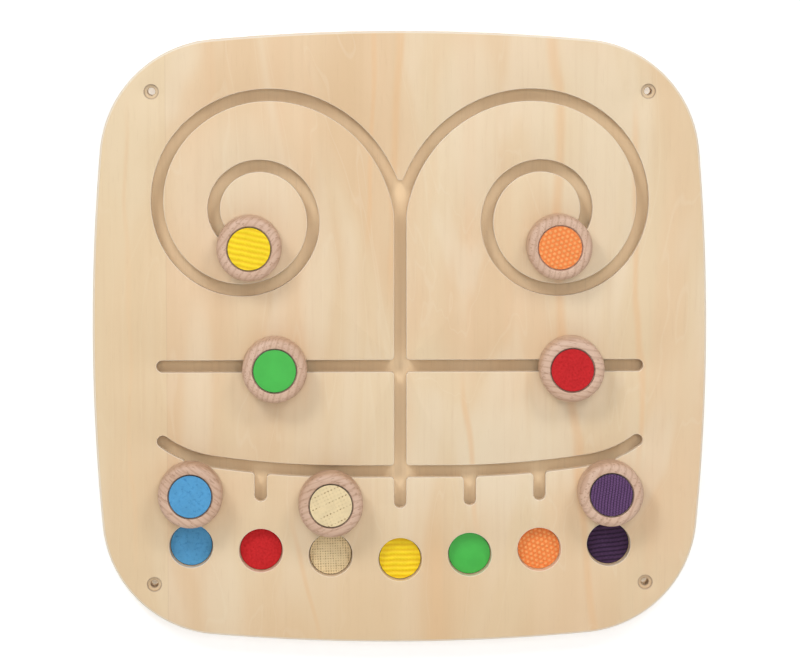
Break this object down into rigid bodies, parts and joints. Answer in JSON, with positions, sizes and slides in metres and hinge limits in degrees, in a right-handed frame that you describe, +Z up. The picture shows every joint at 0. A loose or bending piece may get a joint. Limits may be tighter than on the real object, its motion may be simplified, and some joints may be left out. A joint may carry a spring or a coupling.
{
  "type": "activity board",
  "caption": "Wall-hung wooden activity board for small children: round knobs slide in routed slots, each with a texture disc that matches one of a row of round texture windows.",
  "frame": {"origin": "centre of the board's back face, on the wall", "axes": "+Y into the wall, so the board's face looks along -Y; +Z up; +X to the right as one faces the board"},
  "size_m": [0.6, 0.0595, 0.6],
  "materials": {
    "plywood": "clear matt lacquer on light veneer",
    "channel_wood": "raw plywood",
    "beech": "turned, satin lacquer",
    "nylon": "natural nylon",
    "steel": "zinc-plated",
    "blue_texture": "crinkled suede-like leather",
    "red_texture": "matt felt",
    "beige_texture": "coarse woven cloth",
    "yellow_texture": "corrugated, soft sheen",
    "green_texture": "smooth and glossy",
    "orange_texture": "raised dots, soft sheen",
    "purple_texture": "ribbed corduroy"
  },
  "bodies": {
    "board": {"front_panel": "plywood", "channel_panel": "channel_wood", "back_panel": "plywood", "window_patch_blue": "blue_texture", "window_patch_red": "red_texture", "window_patch_beige": "beige_texture", "window_patch_yellow": "yellow_texture", "window_patch_green": "green_texture", "window_patch_orange": "orange_texture", "window_patch_purple": "purple_texture", "back_screw_01": "steel", "back_screw_02": "steel", "back_screw_03": "steel", "back_screw_04": "steel", "back_screw_05": "steel", "back_screw_06": "steel", "back_screw_07": "steel", "back_screw_08": "steel", "back_screw_09": "steel", "back_screw_10": "steel"},
    "blue_runner": {"glide_blue": "nylon"},
    "blue_knob": {"knob_blue": "beech", "disc_blue": "blue_texture", "knob_screw_blue": "steel"},
    "red_runner": {"glide_red": "nylon"},
    "red_knob": {"knob_red": "beech", "disc_red": "red_texture", "knob_screw_red": "steel"},
    "beige_runner": {"glide_beige": "nylon"},
    "beige_knob": {"knob_beige": "beech", "disc_beige": "beige_texture", "knob_screw_beige": "steel"},
    "yellow_runner": {"glide_yellow": "nylon"},
    "yellow_knob": {"knob_yellow": "beech", "disc_yellow": "yellow_texture", "knob_screw_yellow": "steel"},
    "green_runner": {"glide_green": "nylon"},
    "green_knob": {"knob_green": "beech", "disc_green": "green_texture", "knob_screw_green": "steel"},
    "orange_runner": {"glide_orange": "nylon"},
    "orange_knob": {"knob_orange": "beech", "disc_orange": "orange_texture", "knob_screw_orange": "steel"},
    "purple_runner": {"glide_purple": "nylon"},
    "purple_knob": {"knob_purple": "beech", "disc_purple": "purple_texture", "knob_screw_purple": "steel"}
  },
  "joints": [
    {"name": "blue_run", "type": "slide", "parent": "board", "child": "blue_runner", "axis": [0, 0, 1], "range_m": [0, 0.0345]},
    {"name": "blue_spin", "type": "hinge", "parent": "blue_runner", "child": "blue_knob", "pos_m": [-0.2052, -0.0265, -0.1502], "axis": [0, 1, 0], "continuous": true},
    {"name": "red_run", "type": "slide", "parent": "board", "child": "red_runner", "axis": [1, 0, 0], "range_m": [-0.134, 0.0655]},
    {"name": "red_spin", "type": "hinge", "parent": "red_runner", "child": "red_knob", "pos_m": [0.1665, -0.0265, -0.0277], "axis": [0, 1, 0], "continuous": true},
    {"name": "beige_run", "type": "slide", "parent": "board", "child": "beige_runner", "axis": [0, 0, 1], "range_m": [0, 0.029]},
    {"name": "beige_spin", "type": "hinge", "parent": "beige_runner", "child": "beige_knob", "pos_m": [-0.0684, -0.0265, -0.1597], "axis": [0, 1, 0], "continuous": true},
    {"name": "yellow_run", "type": "hinge", "parent": "board", "child": "yellow_runner", "pos_m": [-0.14415, -0.0125, 0.12852], "axis": [0, 1, 0], "range_deg": [0, 130]},
    {"name": "yellow_spin", "type": "hinge", "parent": "yellow_runner", "child": "yellow_knob", "pos_m": [-0.14707, -0.0265, 0.09087], "axis": [0, 1, 0], "continuous": true},
    {"name": "green_run", "type": "slide", "parent": "board", "child": "green_runner", "axis": [1, 0, 0], "range_m": [-0.1084, 0.09]},
    {"name": "green_spin", "type": "hinge", "parent": "green_runner", "child": "green_knob", "pos_m": [-0.1227, -0.0265, -0.0277], "axis": [0, 1, 0], "continuous": true},
    {"name": "orange_run", "type": "hinge", "parent": "board", "child": "orange_runner", "pos_m": [0.14328, -0.0125, 0.12832], "axis": [0, -1, 0], "range_deg": [0, 118]},
    {"name": "orange_spin", "type": "hinge", "parent": "orange_runner", "child": "orange_knob", "pos_m": [0.1541, -0.0265, 0.09143], "axis": [0, 1, 0], "continuous": true},
    {"name": "purple_run", "type": "slide", "parent": "board", "child": "purple_runner", "axis": [0, 0, 1], "range_m": [0, 0.0345]},
    {"name": "purple_spin", "type": "hinge", "parent": "purple_runner", "child": "purple_knob", "pos_m": [0.2052, -0.0265, -0.1502], "axis": [0, 1, 0], "continuous": true}
  ]
}
